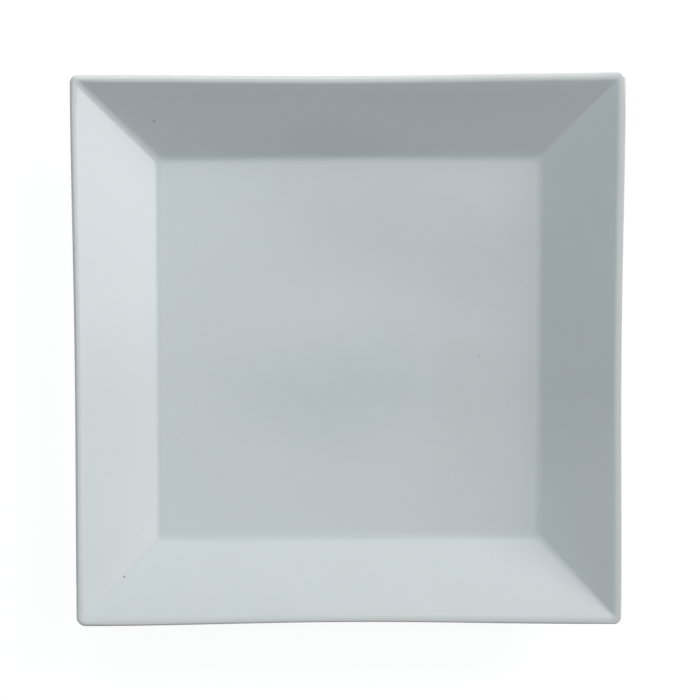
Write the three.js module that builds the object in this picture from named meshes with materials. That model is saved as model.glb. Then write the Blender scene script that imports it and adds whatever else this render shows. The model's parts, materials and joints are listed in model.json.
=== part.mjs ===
// A square porcelain serving tray, in millimetres: +Z up, origin on the table under its middle.
// A flat square well runs through a soft fold into four sloping rims that meet in mitred corners.
// The rims end in a rounded lip whose sides bow in a little, and a low square foot ring carries it.
// The fired body is one piece. The glaze over it is two separate skins, because the tread of the
// foot ring is wiped bare before firing: one skin outside the ring and one in the recess within it.
import * as THREE from "three";

// Plan sizes, taken over the glaze
const SIDE = 305; // over the lip, at the ends of a side
const SIDE_BOW = 1.2; // how far the lip draws in at the middle of a side
const LIP_CORNER_R = 4.7; // outer corners, seen from above
const WELL_SIDE = 213.4; // where the flat floor would meet the rim
const WELL_CORNER_R = 3; // corners of the well and of the mitres, seen from above
const FOOT_CORNER_R = 12; // outer corners of the foot ring, seen from above

// Section sizes, taken over the glaze
const HEIGHT = 30; // table to the top of the lip
const FLOOR = 5; // thickness of the well's floor
const WALL = 5; // thickness of the rim beside the well
const FOLD_R = 11; // fold between the floor and the rim
const BEND_R = 12; // bend under the fold, where the underside of the rim leaves the base
const LIP_WIDTH = 3.5; // top of the lip, before its edges are rounded
const LIP_EDGE = 3.4; // outer edge of the lip, before its edges are rounded
const LIP_INNER_R = 6; // from the rim on to the top of the lip
const LIP_OUTER_R = 1.6; // from the top of the lip to its outer edge
const LIP_UNDER_R = 1.3; // from the outer edge to the underside
const FOOT_HEIGHT = 3; // table to the base
const FOOT_SETBACK = 5; // bend under the fold to the foot ring
const FOOT_TREAD = 5; // width that stands on the table, before its edges are rounded
const FOOT_DRAFT = 0.5; // how far each face of the foot ring leans over its height
const FOOT_ROOT_R = 1.5; // base into the foot ring
const FOOT_TOE_R = 0.9; // edges of the tread, which the glaze stops short of
const GLAZE = 0.3; // thickness of the glaze

// How finely round forms are divided, and how much of a face its two roundings may take
const ARC_STEP = THREE.MathUtils.degToRad(24);
const LEAST_ARC_STEPS = 2;
const CORNER_STEPS = 5;
const SIDE_STEPS = 6;
const ROUNDED_SHARE = 0.96;

const QUARTER_TURN = Math.PI / 2;
const UP = new THREE.Vector3(0, 0, 1);

const finish = (color, roughness) => new THREE.MeshStandardMaterial({ color, roughness, metalness: 0 });
const glazeFinish = () => finish(0xc8d0d2, 0.22);
const bareFinish = () => finish(0xd8d4ca, 0.8);

// A corner of the section: how far out and how high it is, the radius that rounds it, and the
// radius of the outline's corners, seen from above, where that rounding starts and where it ends.
function sectionCorner(name, half, z, round, planRadius, planRadiusAfter = planRadius) {
  return { name, at: new THREE.Vector2(half, z), round, planRadius, planRadiusAfter };
}

// The section's corners, from the well out over the lip and back under the base.
function sectionCorners() {
  const rimFoot = new THREE.Vector2(WELL_SIDE / 2, FOOT_HEIGHT + FLOOR);
  const lipHalf = SIDE / 2;
  const rimTop = new THREE.Vector2(lipHalf - LIP_WIDTH, HEIGHT);
  const lipUnder = new THREE.Vector2(lipHalf, HEIGHT - LIP_EDGE);

  // The underside runs straight from the lip, past the point that leaves WALL beside the fold.
  const slope = rimTop.clone().sub(rimFoot).normalize();
  const besideFold = rimFoot.clone().add(new THREE.Vector2(slope.y, -slope.x).multiplyScalar(WALL));
  const runPerRise = (lipUnder.x - besideFold.x) / (lipUnder.y - besideFold.y);
  const baseHalf = lipUnder.x - (lipUnder.y - FOOT_HEIGHT) * runPerRise;

  // The faces of the foot ring turn their corners about the same middles.
  const footHalf = baseHalf - FOOT_SETBACK;
  const toeHalf = footHalf - FOOT_DRAFT;
  const heelHalf = toeHalf - FOOT_TREAD;
  const recessHalf = heelHalf - FOOT_DRAFT;
  const footRadius = (half) => FOOT_CORNER_R - footHalf + half;

  const lipInnerRadius = LIP_CORNER_R - LIP_OUTER_R;
  return [
    sectionCorner("fold", rimFoot.x, rimFoot.y, FOLD_R, WELL_CORNER_R),
    sectionCorner("lip inside", rimTop.x, rimTop.y, LIP_INNER_R, WELL_CORNER_R, lipInnerRadius),
    sectionCorner("lip outside", lipHalf, HEIGHT, LIP_OUTER_R, lipInnerRadius, LIP_CORNER_R),
    sectionCorner("lip underside", lipUnder.x, lipUnder.y, LIP_UNDER_R, LIP_CORNER_R),
    sectionCorner("bend", baseHalf, FOOT_HEIGHT, BEND_R, FOOT_CORNER_R),
    sectionCorner("foot outside", footHalf, FOOT_HEIGHT, FOOT_ROOT_R, FOOT_CORNER_R),
    sectionCorner("toe", toeHalf, 0, FOOT_TOE_R, footRadius(toeHalf)),
    sectionCorner("heel", heelHalf, 0, FOOT_TOE_R, footRadius(heelHalf)),
    sectionCorner("foot inside", recessHalf, FOOT_HEIGHT, FOOT_ROOT_R, footRadius(recessHalf)),
  ];
}

// The faces between the corners, with the floor of the well first and the base last. The body lies
// under each by the thickness of the glaze, except at the tread, which is bare.
function sectionFaces(corners) {
  const points = corners.map((corner) => corner.at);
  const ends = [...points, new THREE.Vector2(0, points.at(-1).y)];
  const starts = [new THREE.Vector2(0, points[0].y), ...points];
  return starts.map((start, i) => {
    const span = ends[i].clone().sub(start);
    const along = span.clone().normalize();
    const outward = new THREE.Vector2(-along.y, along.x);
    const glaze = corners[i - 1]?.name === "toe" ? 0 : GLAZE;
    const under = start.clone().addScaledVector(outward, -glaze);
    return { along, outward, length: span.length(), over: start, under };
  });
}

// Where two lines cross, each given by a point and a direction.
function crossing(point, along, otherPoint, otherAlong) {
  const share = otherPoint.clone().sub(point).cross(otherAlong) / along.cross(otherAlong);
  return point.clone().addScaledVector(along, share);
}

// Every outline that the surface runs through, in one list for each corner of the section. It holds
// a point over the glaze, the point of the body under it, and the middle of the outline's corners.
function stations() {
  const corners = sectionCorners();
  const faces = sectionFaces(corners);
  const turns = corners.map((_, i) => {
    const [before, after] = [faces[i].along, faces[i + 1].along];
    return Math.atan2(before.cross(after), before.dot(after));
  });
  const tangent = (i) => Math.tan(Math.abs(turns[i]) / 2);
  const reach = (i) => (corners[i] ? corners[i].round * tangent(i) : 0);
  const fit = (i) => Math.min(1, (ROUNDED_SHARE * faces[i].length) / (reach(i - 1) + reach(i)));

  return corners.map((corner, i) => {
    const [before, after] = [faces[i], faces[i + 1]];
    const hollow = Math.sign(turns[i]); // 1 where the section is hollow, -1 where it bulges
    const round = corner.round * Math.min(fit(i), fit(i + 1));
    const steps = Math.max(LEAST_ARC_STEPS, Math.round(Math.abs(turns[i]) / ARC_STEP));

    const arcPoint = (level, radius, turned) => {
      const apex = crossing(before[level], before.along, after[level], after.along);
      const middle = apex.addScaledVector(before.along, -radius * tangent(i));
      middle.addScaledVector(before.outward, hollow * radius);
      const spoke = before.outward.clone().rotateAround(new THREE.Vector2(), turns[i] * turned);
      return middle.addScaledVector(spoke, -hollow * radius);
    };

    return Array.from({ length: steps + 1 }, (_, k) => {
      const over = arcPoint("over", round, k / steps);
      const under = arcPoint("under", round + hollow * GLAZE, k / steps);
      const planRadius = THREE.MathUtils.lerp(corner.planRadius, corner.planRadiusAfter, k / steps);
      return { corner: corner.name, over, under, cornerMiddle: over.x - planRadius };
    });
  });
}

// The outline at one station, anticlockwise from above: four sides that draw in towards their
// middles in a smooth wave, from none at the well to the full bow at the lip, and round corners.
function outline({ x: half, y: z }, cornerMiddle) {
  const outwards = THREE.MathUtils.inverseLerp(WELL_SIDE, SIDE, 2 * half);
  const bow = SIDE_BOW * THREE.MathUtils.clamp(outwards, 0, 1);
  const radius = half - cornerMiddle;
  const points = [];
  for (let quarter = 0; quarter < 4; quarter++) {
    const place = (x, y) => {
      points.push(new THREE.Vector3(x, y, z).applyAxisAngle(UP, quarter * QUARTER_TURN));
    };
    for (let i = 0; i <= SIDE_STEPS; i++) {
      const along = (2 * i) / SIDE_STEPS - 1;
      const drawnIn = (bow * (1 + Math.cos(along * Math.PI))) / 2;
      place(half - drawnIn, cornerMiddle * along);
    }
    for (let i = 1; i < CORNER_STEPS; i++) {
      const angle = (i / CORNER_STEPS) * QUARTER_TURN;
      place(cornerMiddle + radius * Math.cos(angle), cornerMiddle + radius * Math.sin(angle));
    }
  }
  return points;
}

// Triangles from each outline to the next, facing out where the outlines run on round the section.
function skin(outlines) {
  return outlines.slice(1).flatMap((next, i) => {
    const last = outlines[i];
    return last.flatMap((point, j) => {
      const k = (j + 1) % last.length;
      return [
        [point, next[j], next[k]],
        [point, next[k], last[k]],
      ];
    });
  });
}

// Triangles that fill one outline, facing up.
function disc(points) {
  const middle = new THREE.Vector3(0, 0, points[0].z);
  return points.map((point, j) => [middle, point, points[(j + 1) % points.length]]);
}

const turnedOver = (triangles) => triangles.map(([a, b, c]) => [a, c, b]);

function piece(name, triangles, material) {
  const geometry = new THREE.BufferGeometry().setFromPoints(triangles.flat());
  geometry.computeVertexNormals();
  const mesh = new THREE.Mesh(geometry, material);
  mesh.name = name;
  return mesh;
}

function porcelainBody(rows) {
  const surface = rows.map((row) => outline(row.under, row.cornerMiddle));
  const triangles = [...disc(surface[0]), ...skin(surface), ...turnedOver(disc(surface.at(-1)))];
  return piece("porcelain_body", triangles, bareFinish());
}

// The skin outside the foot ring: over the well, the rim and the lip and down to the bare toe.
function outerGlaze(rows) {
  const over = rows.map((row) => outline(row.over, row.cornerMiddle));
  const under = rows.map((row) => outline(row.under, row.cornerMiddle));
  const edge = skin([over.at(-1), under.at(-1)]);
  const bond = turnedOver([...disc(under[0]), ...skin(under)]);
  return piece("outer_glaze", [...disc(over[0]), ...skin(over), ...edge, ...bond], glazeFinish());
}

// The skin in the recess of the base, from the bare heel of the foot ring inwards.
function baseGlaze(rows) {
  const over = rows.map((row) => outline(row.over, row.cornerMiddle));
  const under = rows.map((row) => outline(row.under, row.cornerMiddle));
  const edge = skin([under[0], over[0]]);
  const face = [...skin(over), ...turnedOver(disc(over.at(-1)))];
  const bond = [...turnedOver(skin(under)), ...disc(under.at(-1))];
  return piece("base_glaze", [...edge, ...face, ...bond], glazeFinish());
}

const rows = stations().flat();
const toe = rows.findIndex((row) => row.corner === "toe");
const heel = rows.findLastIndex((row) => row.corner === "heel");

const tray = new THREE.Group();
tray.name = "square_serving_tray";
tray.add(porcelainBody(rows));
tray.add(outerGlaze(rows.slice(0, toe + 1)));
tray.add(baseGlaze(rows.slice(heel)));
export default tray;
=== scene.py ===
import json
import math

import bpy
import numpy as np
from mathutils import Matrix, Vector

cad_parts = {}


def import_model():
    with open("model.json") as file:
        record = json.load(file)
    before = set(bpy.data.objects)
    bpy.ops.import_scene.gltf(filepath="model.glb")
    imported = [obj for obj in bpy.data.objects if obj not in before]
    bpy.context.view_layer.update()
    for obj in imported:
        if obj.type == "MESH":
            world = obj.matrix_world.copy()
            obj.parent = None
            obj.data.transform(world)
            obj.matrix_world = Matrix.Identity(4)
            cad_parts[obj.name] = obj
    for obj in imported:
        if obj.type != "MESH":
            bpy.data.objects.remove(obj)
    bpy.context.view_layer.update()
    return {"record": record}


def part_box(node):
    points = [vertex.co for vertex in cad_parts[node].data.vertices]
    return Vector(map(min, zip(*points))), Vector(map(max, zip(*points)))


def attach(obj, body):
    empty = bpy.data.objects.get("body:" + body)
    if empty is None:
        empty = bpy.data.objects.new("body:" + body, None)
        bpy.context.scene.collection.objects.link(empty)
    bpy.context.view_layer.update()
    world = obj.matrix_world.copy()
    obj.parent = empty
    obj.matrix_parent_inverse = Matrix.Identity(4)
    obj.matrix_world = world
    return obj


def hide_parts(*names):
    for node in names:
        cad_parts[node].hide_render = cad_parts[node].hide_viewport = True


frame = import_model()

MM = 0.001
QUARTER_TURN = math.pi / 2
SIDES = 4  # right, top, left and bottom of the photograph; each corner follows its side

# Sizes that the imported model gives
glaze_top_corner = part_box("outer_glaze")[1]
mount_places = {mount["name"]: mount["pos_m"] for mount in frame["record"]["mounts"]}
LIP_HALF = glaze_top_corner.x
LIP_TOP = glaze_top_corner.z
WELL_FLOOR = mount_places["well_floor"][2]

# The section, as in the CAD model
GLAZE = 0.3 * MM
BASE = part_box("base_glaze")[1].z - GLAZE
WELL_HALF = 106.7 * MM
WALL = 5 * MM
FOLD_R = 11 * MM
BEND_R = 12 * MM
LIP_WIDTH = 3.5 * MM
LIP_EDGE = 3.4 * MM
LIP_INNER_R = 6 * MM
LIP_OUTER_R = 1.6 * MM
LIP_UNDER_R = 1.3 * MM
FOOT_SETBACK = 5 * MM
FOOT_TREAD = 5 * MM
FOOT_DRAFT = 0.5 * MM
FOOT_ROOT_R = 1.5 * MM
FOOT_TOE_R = 0.9 * MM

# The faces of the section that are seen from above
UPPER_FACES = ("well", "well on", "fold", "fold on", "lip inside", "lip inside on", "lip outside")

# The plan, as fired: what each side of the lip and of the well falls short of the CAD plan at
# its two ends, anticlockwise, and how far the lip draws in between them
LIP_SHORT_START = np.array([1.33, 0.0, 0.74, 0.15]) * MM
LIP_SHORT_END = np.array([0.98, 0.8, 0.87, 0.48]) * MM
WELL_SHORT_START = np.array([0.15, -0.5, 0.8, 0.3]) * MM
WELL_SHORT_END = np.array([0.0, 0.15, 0.0, 0.6]) * MM
SIDE_BOW = np.array([1.1, 1.2, 0.76, 1.7]) * MM

# How the lip of each side rolls down towards its edge: how far inside the edge that begins, at
# the side's two ends, and how far the edge drops, as a share of that
LIP_ROLL_REACH_START = np.array([5.0, 6.6, 5.0, 5.0]) * MM
LIP_ROLL_REACH_END = np.array([6.6, 5.0, 5.0, 5.0]) * MM
LIP_ROLL = np.array([0.0, 0.2, 0.02, 0.0])

# How far the lip of each side leans in towards the well: how deep its inner part dips, between
# which distances from its edge, and over how much of the rim that fades out
LIP_LEAN = np.array([0.0, 0.0, 0.43, 0.0]) * MM
LIP_LEAN_FROM = 1.6 * MM
LIP_LEAN_TO = 4.9 * MM
LIP_LEAN_FADE = 25 * MM

# The outer rounding of each side's lip, as a share of the CAD model's
LIP_ROUNDING = np.array([0.35, 1.25, 1.2, 0.85])

# Within what distance of a corner the lips of its two sides pass over into each other
LIP_BLEND = 14 * MM

# The rounding of each corner: along the lip's edge, at the fold, at the top of the rim and at
# the foot
LIP_CORNER_R = np.array([4.4, 4.6, 5.4, 4.2]) * MM
WELL_CORNER_R = np.array([3.8, 3.8, 3.0, 3.2]) * MM
RIM_CORNER_R = np.array([1.4, 3.0, 3.0, 1.4]) * MM
FOOT_CORNER_R = np.full(SIDES, 12 * MM)

# How far the floors of the well and of the base sagged in the kiln, and the half side of the
# part of the well's floor that did
WELL_SAG = 0.35 * MM
BASE_SAG = 0.3 * MM
WELL_FLOOR_HALF = WELL_HALF - FOLD_R * 0.3

# How finely the meshes are divided
ARC_STEP = math.radians(6)
LEAST_ARC_STEPS = 7
FACE_STEP = 4 * MM
CORNER_STEPS = 12
SIDE_STEPS = 44
SHARP_EDGE = math.radians(38)

# How much glaze lies at the start, middle and end of each corner of the section: 1 where it
# pools, -1 where it runs thin, 0 on the faces between
GLAZE_DEPTH = {
    "fold": (0, 1, 0),
    "lip inside": (0, -0.5, -0.9),
    "lip outside": (-0.9, -1, -0.9),
    "lip underside": (-0.9, -0.5, 0),
    "foot outside": (0, 0.6, 0),
    "foot inside": (0, 0.6, 0),
}

# Colours
GLAZE_COLOUR = (0.62, 0.675, 0.69, 1)
POOLED_COLOUR = (0.585, 0.65, 0.672, 1)
THIN_COLOUR = (0.665, 0.685, 0.687, 1)
SPECK_COLOUR = (0.13, 0.12, 0.11, 1)
BARE_COLOUR = (0.69, 0.66, 0.59, 1)
RUBBED_COLOUR = (0.42, 0.41, 0.39, 1)
SAND_COLOUR = (0.5, 0.44, 0.36, 1)

# Noise below is given by its size, detail and seed, then by what it runs between, and dots by
# their spacing, radius and share of places filled. These are the levels between which nearly
# all of Blender's noise lies, and how much of a dot's radius is at full strength
NOISE_LOW = 0.3
NOISE_HIGH = 0.7
DOT_CORE = 0.4

# Painted reflections in the well: soft clouds that darken its colour and turn it lavender-grey
# where reflected shade lay: place, half lengths, turn and colour. Then the unevenness of their
# edges, as a share of the half lengths
PAINTED_REFLECTIONS = [
    ((19 * MM, 70 * MM), (120 * MM, 60 * MM), math.radians(-17), (0.557, 0.608, 0.651, 1)),
    ((10 * MM, -21 * MM), (109 * MM, 49 * MM), 0.0, (0.57, 0.628, 0.638, 1)),
]
PAINTED_REFLECTION_EDGE = (50 * MM, 2, 9.4, -0.12, 0.12)

# Uneven thickness of the glaze, from a hand's breadth down to a few millimetres, as shares of
# its colour
GLAZE_UNEVENNESS = [
    (130 * MM, 2, 3.1, -0.018, 0.018),
    (28 * MM, 3, 1.7, -0.006, 0.006),
    (2.2 * MM, 3, 8.2, -0.006, 0.006),
]

# Iron specks in the glaze: those of the photograph, by place on the tray, radius and darkness,
# with how much of their radius is at full strength and how heights count in it. Then fainter
# ones all over
SPECKS = [
    ((-106.95 * MM, 127.2 * MM), 0.85 * MM, 0.5),
    ((-126.05 * MM, -126.55 * MM), 0.68 * MM, 0.9),
    ((73.45 * MM, -4.06 * MM), 0.6 * MM, 0.37),
]
SPECK_CORE = 0.45
SPECK_SQUASH = (1, 1, 1 / 3)
FAINT_SPECKS = (17 * MM, 0.3 * MM, 0.12)
FAINT_SPECK_DARKNESS = 0.1

# Roughness of the glaze, and what is added where it runs thin
GLAZE_ROUGHNESS = (45 * MM, 4, 5.5, 0.11, 0.15)
GLAZE_GRAIN = (0.9 * MM, 2, 4.4, -0.015, 0.015)
THIN_ROUGHNESS = 0.06

# Relief of the glaze: orange peel, a slow ripple and pinholes, each with its share of the whole
# height
PEEL = (3.5 * MM, 2, 6.1)
PEEL_SHARE = 0.25
RIPPLE = (16 * MM, 1, 7.3)
RIPPLE_SHARE = 0.75
PINHOLES = (9 * MM, 0.22 * MM, 0.1)
PINHOLE_SHARE = -0.6
GLAZE_RELIEF = 0.03 * MM

# The bare porcelain of the foot: shares of its colour, roughness and relief
BARE_UNEVENNESS = [
    (22 * MM, 3, 1.2, -0.04, 0.04),
    (0.5 * MM, 3, 2.3, -0.05, 0.05),
]
BARE_ROUGHNESS = (1.5 * MM, 3, 6.0, 0.78, 0.94)
BARE_GRAIN = (0.4 * MM, 3, 5.0)
BARE_RELIEF = 0.05 * MM

# Rub marks on it: the noise that lays them and how that is drawn out, the levels of it at which
# they start and are full, how much they colour it and how much they polish it
RUBBED = (7 * MM, 4, 4.0, (1, 0.35, 1))
RUBBED_FROM = 0.54
RUBBED_TO = 0.72
RUBBED_SHARE = 0.4
RUBBED_POLISH = 0.3

# Kiln sand stuck to it, how much it colours it and how far it stands up
SAND = (4 * MM, 0.25 * MM, 0.3)
SAND_SHARE = 0.5
SAND_RELIEF = 1.5

# The floor: half its side, how far it lies under the foot, its colour in the light, and how it
# splits into white and shadow to the eye
FLOOR_HALF = 6
FLOOR_GAP = 0.2 * MM
FLOOR_COLOUR = (0.8, 0.8, 0.8, 1)
FLOOR_WHITE = 0.9
FLOOR_SHADOW = 0.2

# The camera, fitted to the outline and the well in the photograph: its place, what it looks at,
# its roll, its focal length in pixels of the photograph and the photograph's width in pixels.
# Then the width of its sensor in Blender's millimetres, and the nearest that it sees
CAMERA_PLACE = Vector((-3.15, 66.25, 997.8)) * MM
CAMERA_TARGET = Vector((0.8, -0.24, 8.3)) * MM
CAMERA_ROLL = math.radians(-0.145)
FOCAL_PIXELS = 1765.1
PHOTO_PIXELS = 700
SENSOR_WIDTH = 36
CLIP_START = 0.01

# Soft boxes that look at the middle of the tray: name, azimuth from +X to +Y and elevation over
# the floor in degrees, distance, width and height, power and colour. Then the world's light
LAMPS = [
    ("key_light", 38, 22, 4, (2.0, 1.6), 117.5, (1, 0.977, 0.94)),
    ("side_light", 0, 42, 4, (2.0, 1.6), 13.3, (0.99, 0.935, 1)),
    ("window_light", 15, 42, 4, (2.0, 1.6), 11.2, (1, 0.93, 0.98)),
    ("back_light", 105, 32, 2, (1.0, 0.8), 10.4, (0.98, 1, 1)),
    ("overhead_light", 180, 72, 2, (1.6, 1.6), 6.7, (0.88, 0.985, 1)),
    ("fill_light", 210, 42, 4, (2.0, 1.6), 6.5, (0.97, 0.99, 1)),
]
WORLD_COLOUR = (0.92, 1, 1.05, 1)
WORLD_STRENGTH = 0.1


# Section

def section_corners():
    """The corners of the section from the well out over the lip and back under the base: name,
    place, rounding, and the radii of the outline's corners where that rounding starts and ends."""
    rim_foot = np.array([WELL_HALF, WELL_FLOOR])
    rim_top = np.array([LIP_HALF - LIP_WIDTH, LIP_TOP])
    lip_under = np.array([LIP_HALF, LIP_TOP - LIP_EDGE])

    # The underside runs straight from the lip, past the point that leaves WALL beside the fold
    slope = (rim_top - rim_foot) / np.linalg.norm(rim_top - rim_foot)
    beside_fold = rim_foot + WALL * np.array([slope[1], -slope[0]])
    run_per_rise = (lip_under[0] - beside_fold[0]) / (lip_under[1] - beside_fold[1])
    base_half = lip_under[0] - (lip_under[1] - BASE) * run_per_rise

    foot_half = base_half - FOOT_SETBACK
    toe_half = foot_half - FOOT_DRAFT
    heel_half = toe_half - FOOT_TREAD
    recess_half = heel_half - FOOT_DRAFT
    lip_inner_r = LIP_CORNER_R - LIP_OUTER_R

    def foot_radius(half):
        return FOOT_CORNER_R - foot_half + half

    toe_r, heel_r, recess_r = (foot_radius(half) for half in (toe_half, heel_half, recess_half))
    return [
        ("fold", rim_foot, FOLD_R, WELL_CORNER_R, WELL_CORNER_R),
        ("lip inside", rim_top, LIP_INNER_R, RIM_CORNER_R, lip_inner_r),
        ("lip outside", np.array([LIP_HALF, LIP_TOP]), LIP_OUTER_R, lip_inner_r, LIP_CORNER_R),
        ("lip underside", lip_under, LIP_UNDER_R, LIP_CORNER_R, LIP_CORNER_R),
        ("bend", np.array([base_half, BASE]), BEND_R, FOOT_CORNER_R, FOOT_CORNER_R),
        ("foot outside", np.array([foot_half, BASE]), FOOT_ROOT_R, FOOT_CORNER_R, FOOT_CORNER_R),
        ("toe", np.array([toe_half, 0]), FOOT_TOE_R, toe_r, toe_r),
        ("heel", np.array([heel_half, 0]), FOOT_TOE_R, heel_r, heel_r),
        ("foot inside", np.array([recess_half, BASE]), FOOT_ROOT_R, recess_r, recess_r),
    ]


def cross(a, b):
    return a[0] * b[1] - a[1] * b[0]


def stations():
    """Every outline that the surface runs through, in order: the corner or face it belongs to,
    a point over the glaze, the point of the body under it, the radii of its corners and the
    depth of glaze."""
    corners = section_corners()
    places = [place for _, place, *_ in corners]
    starts = [np.array([0, WELL_FLOOR]), *places]
    ends = [*places, np.array([0, BASE])]
    alongs = [(end - start) / np.linalg.norm(end - start) for start, end in zip(starts, ends)]
    outwards = [np.array([-along[1], along[0]]) for along in alongs]
    names = [name for name, *_ in corners]
    tread = names.index("heel")
    glazes = [0 if face == tread else GLAZE for face in range(len(starts))]

    def apex(i, depth):
        """Where the faces before and after corner i cross, each set in by a share of its glaze."""
        p = starts[i] - outwards[i] * glazes[i] * depth
        q = starts[i + 1] - outwards[i + 1] * glazes[i + 1] * depth
        return p + alongs[i] * cross(q - p, alongs[i + 1]) / cross(alongs[i], alongs[i + 1])

    rows = [("well", starts[0], starts[0] - outwards[0] * GLAZE, np.zeros(SIDES), 0.0)]
    for i, (name, _, rounding, radii, radii_after) in enumerate(corners):
        turn = math.atan2(cross(alongs[i], alongs[i + 1]), np.dot(alongs[i], alongs[i + 1]))
        hollow = math.copysign(1, turn)
        steps = max(LEAST_ARC_STEPS, round(abs(turn) / ARC_STEP))

        def arc_point(depth, turned):
            radius = rounding + hollow * GLAZE * depth
            middle = apex(i, depth) - alongs[i] * radius * math.tan(abs(turn) / 2)
            middle = middle + outwards[i] * hollow * radius
            angle = turn * turned
            spoke = np.array([
                outwards[i][0] * math.cos(angle) - outwards[i][1] * math.sin(angle),
                outwards[i][0] * math.sin(angle) + outwards[i][1] * math.cos(angle),
            ])
            return middle - spoke * hollow * radius

        for turned in np.linspace(0, 1, steps + 1):
            depth = np.interp(turned, (0, 0.5, 1), GLAZE_DEPTH.get(name, (0, 0, 0)))
            between = radii + (radii_after - radii) * turned
            rows.append((name, arc_point(0, turned), arc_point(1, turned), between, depth))
    rows.append(("base", ends[-1], ends[-1] - outwards[-1] * GLAZE, np.zeros(SIDES), 0.0))
    return with_faces_divided(rows)


def with_faces_divided(rows):
    """Rows with more stations along the straight faces, so that these can sag and take colour."""
    divided = [rows[0]]
    for last, row in zip(rows, rows[1:]):
        steps = max(1, round(np.linalg.norm(row[1] - last[1]) / FACE_STEP))
        for share in np.linspace(0, 1, steps + 1)[1:-1]:
            blend = [a + (b - a) * share for a, b in zip(last[1:], row[1:])]
            divided.append((last[0] + " on", *blend))
        divided.append(row)
    return divided


ROWS = stations()
ROW_NAMES = [name for name, *_ in ROWS]
OVER, UNDER = 1, 2  # where a row keeps its points over the glaze and under it


def last_row(name):
    return len(ROW_NAMES) - 1 - ROW_NAMES[::-1].index(name)


TOE = ROW_NAMES.index("toe")
HEEL = last_row("heel")
RECESS_HALF = ROWS[last_row("foot inside")][OVER][0]


# Meshes

def eased(share):
    """A share, held between 0 and 1 and eased towards both."""
    share = np.clip(share, 0, 1)
    return share ** 2 * (3 - 2 * share)


def outline(name, point, radii):
    """The tray's outline through a point of the section, anticlockwise from above, as an array."""
    half, z = point
    from_edge = LIP_HALF - half
    outward = np.clip((half - WELL_HALF) / (LIP_HALF - WELL_HALF), 0, 1)
    inward = (name in UPPER_FACES) * min(half / WELL_HALF, 1) * (1 - outward)
    starts = half - outward * LIP_SHORT_START - inward * WELL_SHORT_START
    ends = half - outward * LIP_SHORT_END - inward * WELL_SHORT_END
    leant = eased((from_edge - LIP_LEAN_FROM) / (LIP_LEAN_TO - LIP_LEAN_FROM))
    leant *= (name in UPPER_FACES) * np.clip(1 - (from_edge - LIP_LEAN_TO) / LIP_LEAN_FADE, 0, 1)
    along = np.linspace(0, 1, SIDE_STEPS + 1)
    angle = np.linspace(0, QUARTER_TURN, CORNER_STEPS + 1)[1:-1]
    wave = (1 - np.cos(along * 2 * math.pi)) / 2
    points = []
    for side in range(SIDES):
        before, after = (side - 1) % SIDES, (side + 1) % SIDES
        low = radii[before] - ends[before]
        high = starts[after] - radii[side]
        x = np.concatenate([
            starts[side] + (ends[side] - starts[side]) * along - outward * SIDE_BOW[side] * wave,
            ends[side] - radii[side] * (1 - np.cos(angle)),
        ])
        y = np.concatenate([
            low + (high - low) * along,
            starts[after] - radii[side] * (1 - np.sin(angle)),
        ])

        own = 0.5 + 0.5 * eased((high - low) * np.minimum(along, 1 - along) / LIP_BLEND)

        def blended(values):
            """This side's value along it, midway between it and the next side's at each corner."""
            neighbour = np.where(along < 0.5, values[before], values[after])
            at_corner = np.full_like(angle, (values[side] + values[after]) / 2)
            return np.concatenate([neighbour + (values[side] - neighbour) * own, at_corner])

        reach_start, reach_end = LIP_ROLL_REACH_START[side], LIP_ROLL_REACH_END[side]
        reach = np.concatenate([
            reach_start + (reach_end - reach_start) * along,
            np.full_like(angle, reach_end),
        ])
        rolled = reach * np.clip(1 - from_edge / reach, 0, 1) ** 2
        height = z - rolled * blended(LIP_ROLL) - leant * blended(LIP_LEAN)
        if name == "lip outside":
            sharper = 1 - blended(LIP_ROUNDING)
            x += from_edge * sharper * np.concatenate([np.ones_like(along), np.cos(angle)])
            y += from_edge * sharper * np.concatenate([np.zeros_like(along), np.sin(angle)])
            height += (LIP_TOP - z) * sharper
        cos, sin = round(math.cos(side * QUARTER_TURN)), round(math.sin(side * QUARTER_TURN))
        points.append(np.column_stack([cos * x - sin * y, sin * x + cos * y, height]))
    return np.concatenate(points)


def settled(points, half, sag):
    """The points of a floor, let down in the middle by sag and not at all at half from it."""
    x, y = (np.clip(points[:, axis] / half, -1, 1) for axis in (0, 1))
    points[:, 2] -= sag * (1 + np.cos(x * math.pi)) * (1 + np.cos(y * math.pi)) / 4
    return points


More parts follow.
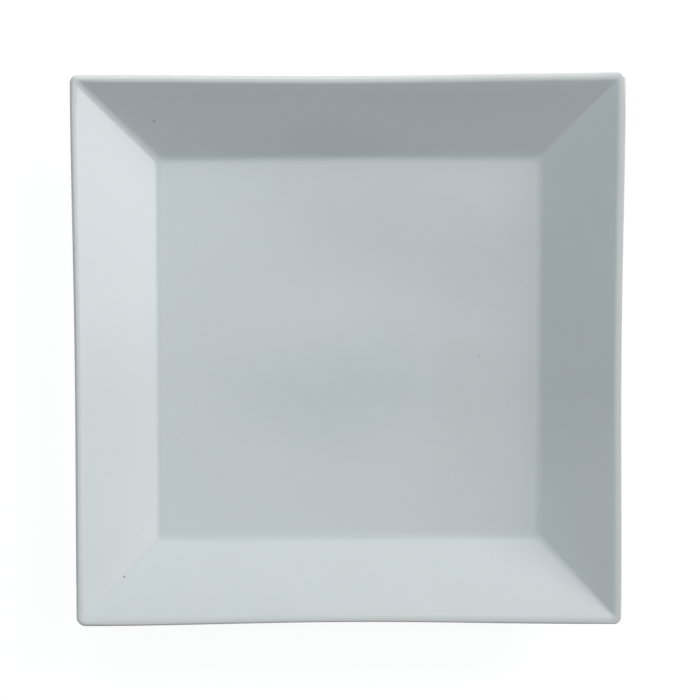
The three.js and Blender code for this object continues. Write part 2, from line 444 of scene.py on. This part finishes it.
class Shell:
    """A mesh of outlines, joined one to the next and closed by the time it becomes an object."""

    def __init__(self):
        self.points = []
        self.depths = []
        self.faces = []
        self.count = 0

    def add(self, points, depths):
        first = self.count
        self.points.append(points)
        self.depths.append(np.broadcast_to(depths, len(points)))
        self.count += len(points)
        return np.arange(first, self.count)

    def band(self, last, following):
        """Faces between two outlines, facing out where the outlines run on round the section."""
        quads = np.column_stack([last, following, np.roll(following, -1), np.roll(last, -1)])
        self.faces.extend(quads.tolist())

    def fan(self, middle, ring, up):
        """Faces from a middle point to an outline round it."""
        ahead = np.roll(ring, -1)
        middles = np.full_like(ring, middle)
        order = [middles, ring, ahead] if up else [middles, ahead, ring]
        self.faces.extend(np.column_stack(order).tolist())

    def skin(self, rows, level, turned_over=False):
        """Faces through the rows, OVER the glaze or UNDER it. Returns their outlines."""
        rings = []
        for row in rows:
            name, *_, radii, depth = row
            half, z = row[level]
            points = np.array([[0, 0, z]]) if half <= 0 else outline(name, row[level], radii)
            if name.startswith("well"):
                points = settled(points, WELL_FLOOR_HALF, WELL_SAG)
            if name in ("base", "foot inside on"):
                points = settled(points, RECESS_HALF, BASE_SAG)
            rings.append(self.add(points, depth))
        for last, following in zip(rings, rings[1:]):
            if turned_over:
                last, following = following, last
            if len(last) == 1:
                self.fan(last[0], following, up=True)
            elif len(following) == 1:
                self.fan(following[0], last, up=False)
            else:
                self.band(last, following)
        return rings

    def object(self, name, material):
        mesh = bpy.data.meshes.new(name)
        mesh.from_pydata(np.concatenate(self.points).tolist(), [], self.faces)
        depth = mesh.attributes.new("glaze_depth", "FLOAT", "POINT")
        depth.data.foreach_set("value", np.concatenate(self.depths).astype(np.float32))
        mesh.shade_smooth()
        mesh.set_sharp_from_angle(angle=SHARP_EDGE)
        mesh.materials.append(material)
        made = bpy.data.objects.new(name, mesh)
        bpy.context.scene.collection.objects.link(made)
        return made


def outer_glaze(material):
    shell = Shell()
    over = shell.skin(ROWS[:TOE + 1], OVER)
    under = shell.skin(ROWS[:TOE + 1], UNDER, turned_over=True)
    shell.band(over[-1], under[-1])
    return shell.object("glaze_of_well_rim_and_underside", material)


def base_glaze(material):
    shell = Shell()
    over = shell.skin(ROWS[HEEL:], OVER)
    under = shell.skin(ROWS[HEEL:], UNDER, turned_over=True)
    shell.band(under[0], over[0])
    return shell.object("glaze_of_base", material)


def porcelain_body(material):
    shell = Shell()
    shell.skin(ROWS, UNDER)
    return shell.object("fired_body_with_bare_foot", material)


# Materials

MIX_FIRST, MIX_SECOND, MIX_RESULT = 6, 7, 2  # the colour sockets of Blender's Mix node


class Shading:
    """Makes the nodes of one material and joins them, so that each step reads as one call."""

    def __init__(self, name):
        self.material = bpy.data.materials.new(name)
        self.material.use_nodes = True
        self.nodes = self.material.node_tree.nodes
        self.links = self.material.node_tree.links
        self.shader = self.nodes["Principled BSDF"]
        self.place = self.nodes.new("ShaderNodeTexCoord").outputs["Object"]

    def feed(self, socket, value):
        if isinstance(value, bpy.types.NodeSocket):
            self.links.new(value, socket)
        else:
            socket.default_value = value

    def math(self, operation, a, b=0.0):
        node = self.nodes.new("ShaderNodeMath")
        node.operation = operation
        self.feed(node.inputs[0], a)
        self.feed(node.inputs[1], b)
        return node.outputs[0]

    def times(self, a, b):
        return self.math("MULTIPLY", a, b)

    def total(self, *values):
        result = values[0]
        for value in values[1:]:
            result = self.math("ADD", result, value)
        return result

    def noise(self, size, detail, seed, stretch=(1, 1, 1)):
        """Cloudy noise from 0 to 1 with features of about this size in metres."""
        shifted = self.nodes.new("ShaderNodeVectorMath")
        shifted.operation = "MULTIPLY_ADD"
        self.feed(shifted.inputs[0], self.place)
        shifted.inputs[1].default_value = stretch
        shifted.inputs[2].default_value = (seed, seed, seed)
        node = self.nodes.new("ShaderNodeTexNoise")
        self.feed(node.inputs["Vector"], shifted.outputs[0])
        node.inputs["Scale"].default_value = 1 / size
        node.inputs["Detail"].default_value = detail
        return node.outputs[0]

    def span(self, value, low, high, to_low, to_high, smooth=True):
        """The value with low..high carried over to to_low..to_high, and held at both ends."""
        node = self.nodes.new("ShaderNodeMapRange")
        node.interpolation_type = "SMOOTHSTEP" if smooth else "LINEAR"
        self.feed(node.inputs["Value"], value)
        node.inputs["From Min"].default_value = low
        node.inputs["From Max"].default_value = high
        node.inputs["To Min"].default_value = to_low
        node.inputs["To Max"].default_value = to_high
        return node.outputs[0]

    def varied(self, size, detail, seed, low, high):
        """Cloudy noise that runs from low to high."""
        noise = self.noise(size, detail, seed)
        return self.span(noise, NOISE_LOW, NOISE_HIGH, low, high, smooth=False)

    def dots(self, spacing, radius, share):
        """1 in small round dots, in a share of the cells of this spacing, and 0 between them."""
        node = self.nodes.new("ShaderNodeTexVoronoi")
        self.feed(node.inputs["Vector"], self.place)
        node.inputs["Scale"].default_value = 1 / spacing
        split = self.nodes.new("ShaderNodeSeparateColor")
        self.links.new(node.outputs["Color"], split.inputs[0])
        chosen = self.math("LESS_THAN", split.outputs[0], share)
        distance = node.outputs["Distance"]
        near = self.span(distance, DOT_CORE * radius / spacing, radius / spacing, 1, 0)
        return self.times(chosen, near)

    def near(self, place, radius):
        """1 within a radius of a place, fading to 0 at its edge."""
        flat = self.nodes.new("ShaderNodeVectorMath")
        flat.operation = "MULTIPLY"
        self.feed(flat.inputs[0], self.place)
        flat.inputs[1].default_value = SPECK_SQUASH
        node = self.nodes.new("ShaderNodeVectorMath")
        node.operation = "DISTANCE"
        self.feed(node.inputs[0], flat.outputs[0])
        node.inputs[1].default_value = [a * b for a, b in zip(place, SPECK_SQUASH)]
        return self.span(node.outputs["Value"], SPECK_CORE * radius, radius, 1, 0)

    def painted_reflection(self, place, reach, turn):
        """The mask of a painted reflection: 1 at a place, fading to 0 at an uneven oval round it.
        Heights don't count for much.
        """
        mapped = self.nodes.new("ShaderNodeMapping")
        mapped.vector_type = "TEXTURE"
        self.feed(mapped.inputs["Vector"], self.place)
        mapped.inputs["Location"].default_value = (*place, 0)
        mapped.inputs["Rotation"].default_value = (0, 0, turn)
        mapped.inputs["Scale"].default_value = (*reach, 1)
        away = self.nodes.new("ShaderNodeVectorMath")
        away.operation = "LENGTH"
        self.feed(away.inputs[0], mapped.outputs[0])
        return self.span(self.total(away.outputs["Value"], self.varied(*PAINTED_REFLECTION_EDGE)), 0, 1, 1, 0)

    def mix(self, share, first, second):
        node = self.nodes.new("ShaderNodeMix")
        node.data_type = "RGBA"
        self.feed(node.inputs["Factor"], share)
        self.feed(node.inputs[MIX_FIRST], first)
        self.feed(node.inputs[MIX_SECOND], second)
        return node.outputs[MIX_RESULT]

    def brightened(self, colour, factor):
        node = self.nodes.new("ShaderNodeVectorMath")
        node.operation = "SCALE"
        self.feed(node.inputs[0], colour)
        self.feed(node.inputs["Scale"], factor)
        return node.outputs[0]

    def bump(self, height, depth):
        node = self.nodes.new("ShaderNodeBump")
        node.inputs["Strength"].default_value = 1
        node.inputs["Distance"].default_value = depth
        self.feed(node.inputs["Height"], height)
        self.links.new(node.outputs[0], self.shader.inputs["Normal"])

    def attribute(self, name):
        node = self.nodes.new("ShaderNodeAttribute")
        node.attribute_name = name
        return node.outputs["Fac"]


def on_rim(x, y):
    """The place on the top of the tray at x and y."""
    half = max(abs(x), abs(y))
    share = max(0, (half - WELL_HALF) / (LIP_HALF - LIP_WIDTH - WELL_HALF))
    return (x, y, WELL_FLOOR + share * (LIP_TOP - WELL_FLOOR))


def glaze_material():
    s = Shading("cool_white_glaze")
    depth = s.attribute("glaze_depth")

    # Cool white with painted reflections as darker clouds in the well, cooler where the glaze
    # pools and warmer where the body shows through it
    pooled = s.span(depth, 0, 1, 0, 1)
    thin = s.span(depth, -1, 0, 1, 0)
    colour = GLAZE_COLOUR
    # Painted reflections: darker, lavender-grey clouds laid into the well's colour
    for place, reach, turn, reflected_shade in PAINTED_REFLECTIONS:
        colour = s.mix(s.painted_reflection(place, reach, turn), colour, reflected_shade)
    colour = s.mix(pooled, colour, POOLED_COLOUR)
    colour = s.mix(thin, colour, THIN_COLOUR)
    colour = s.brightened(colour, s.total(1.0, *(s.varied(*noise) for noise in GLAZE_UNEVENNESS)))

    # Iron specks
    specks = s.times(s.dots(*FAINT_SPECKS), FAINT_SPECK_DARKNESS)
    for place, radius, darkness in SPECKS:
        one = s.times(s.near(on_rim(*place), radius), darkness)
        specks = s.math("MAXIMUM", specks, one)
    s.feed(s.shader.inputs["Base Color"], s.mix(specks, colour, SPECK_COLOUR))

    # Satin gloss, duller where the glaze runs thin
    dulled = s.times(thin, THIN_ROUGHNESS)
    rough = s.total(s.varied(*GLAZE_ROUGHNESS), s.varied(*GLAZE_GRAIN), dulled)
    s.feed(s.shader.inputs["Roughness"], rough)

    # Orange peel, a slow ripple and a few pinholes
    peel = s.times(s.noise(*PEEL), PEEL_SHARE)
    ripple = s.times(s.noise(*RIPPLE), RIPPLE_SHARE)
    pinholes = s.times(s.dots(*PINHOLES), PINHOLE_SHARE)
    s.bump(s.total(peel, ripple, pinholes), GLAZE_RELIEF)
    return s.material


def bare_material():
    s = Shading("bare_porcelain")

    # Grey rub marks from tables and the rest of a stack, and specks of kiln sand
    rubbed = s.span(s.noise(*RUBBED), RUBBED_FROM, RUBBED_TO, 0, RUBBED_SHARE)
    colour = s.mix(rubbed, BARE_COLOUR, RUBBED_COLOUR)
    sand = s.times(s.dots(*SAND), SAND_SHARE)
    colour = s.mix(sand, colour, SAND_COLOUR)
    colour = s.brightened(colour, s.total(1.0, *(s.varied(*noise) for noise in BARE_UNEVENNESS)))
    s.feed(s.shader.inputs["Base Color"], colour)

    # Matt, polished a little by rubbing, with a fine grain and standing sand
    rough = s.math("SUBTRACT", s.varied(*BARE_ROUGHNESS), s.times(rubbed, RUBBED_POLISH))
    s.feed(s.shader.inputs["Roughness"], rough)
    s.bump(s.total(s.noise(*BARE_GRAIN), s.times(sand, SAND_RELIEF)), BARE_RELIEF)
    return s.material


# Stage

def seen_directly(nodes, links):
    """1 for rays that show the stage itself, by sight, by gloss or through glass, and else 0."""
    path = nodes.new("ShaderNodeLightPath")
    either = nodes.new("ShaderNodeMath")
    either.operation = "MAXIMUM"
    links.new(path.outputs["Is Camera Ray"], either.inputs[0])
    links.new(path.outputs["Is Glossy Ray"], either.inputs[1])
    any_of = nodes.new("ShaderNodeMath")
    any_of.operation = "MAXIMUM"
    links.new(either.outputs[0], any_of.inputs[0])
    links.new(path.outputs["Is Transmission Ray"], any_of.inputs[1])
    return any_of.outputs[0]


def floor():
    mesh = bpy.data.meshes.new("floor")
    corners = [(-1, -1), (1, -1), (1, 1), (-1, 1)]
    points = [(x * FLOOR_HALF, y * FLOOR_HALF, -FLOOR_GAP) for x, y in corners]
    mesh.from_pydata(points, [], [(0, 1, 2, 3)])
    made = bpy.data.objects.new("floor", mesh)
    bpy.context.scene.collection.objects.link(made)

    # Pale to the light that falls on it, and white, with the shadow left in, to the eye
    material = bpy.data.materials.new("white_floor")
    material.use_nodes = True
    nodes, links = material.node_tree.nodes, material.node_tree.links
    pale = nodes["Principled BSDF"]
    pale.inputs["Base Color"].default_value = FLOOR_COLOUR
    pale.inputs["Roughness"].default_value = 1
    pale.inputs["Specular IOR Level"].default_value = 0
    shadow = nodes.new("ShaderNodeBsdfDiffuse")
    shadow.inputs["Color"].default_value = (FLOOR_SHADOW, FLOOR_SHADOW, FLOOR_SHADOW, 1)
    white = nodes.new("ShaderNodeEmission")
    white.inputs["Strength"].default_value = FLOOR_WHITE
    both = nodes.new("ShaderNodeAddShader")
    links.new(white.outputs[0], both.inputs[0])
    links.new(shadow.outputs[0], both.inputs[1])
    choice = nodes.new("ShaderNodeMixShader")
    links.new(seen_directly(nodes, links), choice.inputs["Fac"])
    links.new(pale.outputs[0], choice.inputs[1])
    links.new(both.outputs[0], choice.inputs[2])
    links.new(choice.outputs[0], nodes["Material Output"].inputs["Surface"])
    mesh.materials.append(material)


def camera():
    place, cos, sin = CAMERA_PLACE, math.cos(CAMERA_ROLL), math.sin(CAMERA_ROLL)
    forward = (CAMERA_TARGET - place).normalized()
    right = forward.cross(Vector((0, 1, 0))).normalized()
    up = right.cross(forward)
    right, up = right * cos + up * sin, up * cos - right * sin
    data = bpy.data.cameras.new("camera")
    data.sensor_width = SENSOR_WIDTH
    data.lens = FOCAL_PIXELS / PHOTO_PIXELS * SENSOR_WIDTH
    data.clip_start = CLIP_START
    made = bpy.data.objects.new("camera", data)
    bpy.context.scene.collection.objects.link(made)
    made.matrix_world = Matrix((
        (right.x, up.x, -forward.x, place.x),
        (right.y, up.y, -forward.y, place.y),
        (right.z, up.z, -forward.z, place.z),
        (0, 0, 0, 1),
    ))
    bpy.context.scene.camera = made


def soft_box(name, azimuth, elevation, distance, size, power, colour):
    """A lamp in the shape of a rectangle, turned to the middle of the tray."""
    a, e = math.radians(azimuth), math.radians(elevation)
    place = Vector((math.cos(a) * math.cos(e), math.sin(a) * math.cos(e), math.sin(e))) * distance
    data = bpy.data.lights.new(name, "AREA")
    data.shape = "RECTANGLE"
    data.size, data.size_y = size
    data.energy = power
    data.color = colour
    made = bpy.data.objects.new(name, data)
    made.location = place
    made.rotation_euler = (-place).to_track_quat("-Z", "Y").to_euler()
    bpy.context.scene.collection.objects.link(made)


def world():
    """Dim to the light that falls on the tray, and white to the eye."""
    made = bpy.data.worlds.new("studio")
    made.use_nodes = True
    nodes, links = made.node_tree.nodes, made.node_tree.links
    dim = nodes["Background"]
    dim.inputs["Color"].default_value = WORLD_COLOUR
    dim.inputs["Strength"].default_value = WORLD_STRENGTH
    white = nodes.new("ShaderNodeBackground")
    white.inputs["Color"].default_value = (1, 1, 1, 1)
    white.inputs["Strength"].default_value = 1
    choice = nodes.new("ShaderNodeMixShader")
    links.new(seen_directly(nodes, links), choice.inputs["Fac"])
    links.new(dim.outputs[0], choice.inputs[1])
    links.new(white.outputs[0], choice.inputs[2])
    links.new(choice.outputs[0], nodes["World Output"].inputs["Surface"])
    bpy.context.scene.world = made


glaze = glaze_material()
for piece, node, slot in (
    (outer_glaze(glaze), "outer_glaze", "white_glaze"),
    (base_glaze(glaze), "base_glaze", "white_glaze"),
    (porcelain_body(bare_material()), "porcelain_body", "bare_porcelain"),
):
    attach(piece, "root")
    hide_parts(node)

floor()
camera()
for lamp in LAMPS:
    soft_box(*lamp)
world()
bpy.context.scene.view_settings.view_transform = "Standard"
